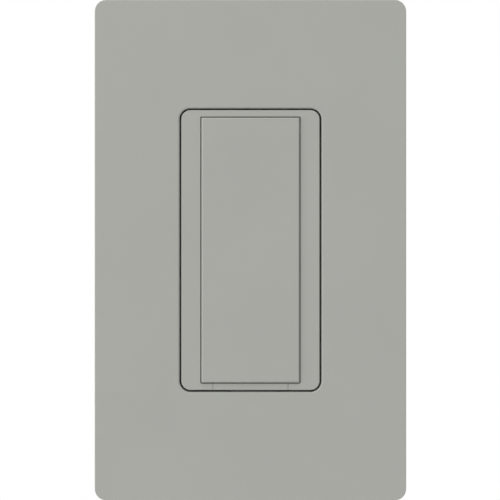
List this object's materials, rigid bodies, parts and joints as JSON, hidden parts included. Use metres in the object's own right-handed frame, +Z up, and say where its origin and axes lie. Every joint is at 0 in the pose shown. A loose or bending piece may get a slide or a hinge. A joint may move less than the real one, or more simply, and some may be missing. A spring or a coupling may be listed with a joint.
{
  "type": "multi-location switch",
  "caption": "Grey tap switch for one wall box: a tall press paddle in a flush bezel, a pull-out tab below it, a plain screwless cover plate in front and a wired housing behind.",
  "frame": {"origin": "centre of the wall plane, where the cover plate's rim meets the wall, midway between the two wall-box screws", "axes": "+Z up, -Y out into the room (the paddle's side), +Y into the wall, +X to the right seen from the room"},
  "size_m": [0.0746, 0.0369, 0.1194],
  "materials": {
    "cover_plastic": "satin",
    "device_plastic": "satin",
    "adapter_plastic": "satin",
    "housing_plastic": "moulded, matte",
    "yoke_metal": "rolled sheet",
    "zinc_steel": "zinc plated",
    "brass": "bright",
    "brass_screw": "bright",
    "black_screw": "black oxide",
    "blue_screw": "blue lacquer",
    "green_screw": "green lacquer",
    "fibre": "vulcanised fibre",
    "spacer_plastic": "moulded",
    "board_laminate": "solder mask",
    "switch_body": "moulded",
    "plunger_plastic": "moulded",
    "relay_plastic": "moulded",
    "capacitor_plastic": "moulded",
    "ferrite": "sintered",
    "copper_winding": "enamelled copper wire",
    "surge_ceramic": "dipped",
    "can_sleeve": "sleeved aluminium can",
    "chip_epoxy": "moulded epoxy"
  },
  "bodies": {
    "housing": {"wallplate": "cover_plastic", "wallplate_adapter": "adapter_plastic", "adapter_screws": "zinc_steel", "bezel": "device_plastic", "yoke": "yoke_metal", "box_screws": "zinc_steel", "screw_retainers": "fibre", "ground_screw": "green_screw", "back_housing": "housing_plastic", "housing_screws": "zinc_steel", "spacer": "spacer_plastic", "circuit_board": "board_laminate", "tactile_switch": "switch_body", "air_gap_blades": "brass", "line_terminal": "brass", "load_terminal": "brass", "traveler_terminal": "brass", "line_terminal_screw": "brass_screw", "load_terminal_screw": "black_screw", "traveler_terminal_screw": "blue_screw", "relay": "relay_plastic", "filter_capacitor": "capacitor_plastic", "choke_core": "ferrite", "choke_winding": "copper_winding", "surge_disc": "surge_ceramic", "storage_capacitor": "can_sleeve", "controller_chip": "chip_epoxy"},
    "paddle": {"tap_paddle": "device_plastic"},
    "service_switch": {"service_tab": "device_plastic", "air_gap_bridge": "brass"},
    "plunger": {"tactile_plunger": "plunger_plastic"}
  },
  "joints": [
    {"name": "paddle_press", "type": "hinge", "parent": "housing", "child": "paddle", "pos_m": [0, -0.0056, 0.0285], "axis": [1, 0, 0], "range_deg": [0, 0.8], "stiffness_Nm_per_rad": 1, "springref_deg": -3.44},
    {"name": "service_pull", "type": "slide", "parent": "housing", "child": "service_switch", "axis": [0, -1, 0], "range_m": [0, 0.0035]},
    {"name": "plunger_press", "type": "slide", "parent": "housing", "child": "plunger", "axis": [0, 1, 0], "range_m": [0, 0.0006]}
  ],
  "couplings": [
    {"joint": "plunger_press", "follows": "paddle_press", "m_per_rad": 0.0405}
  ]
}
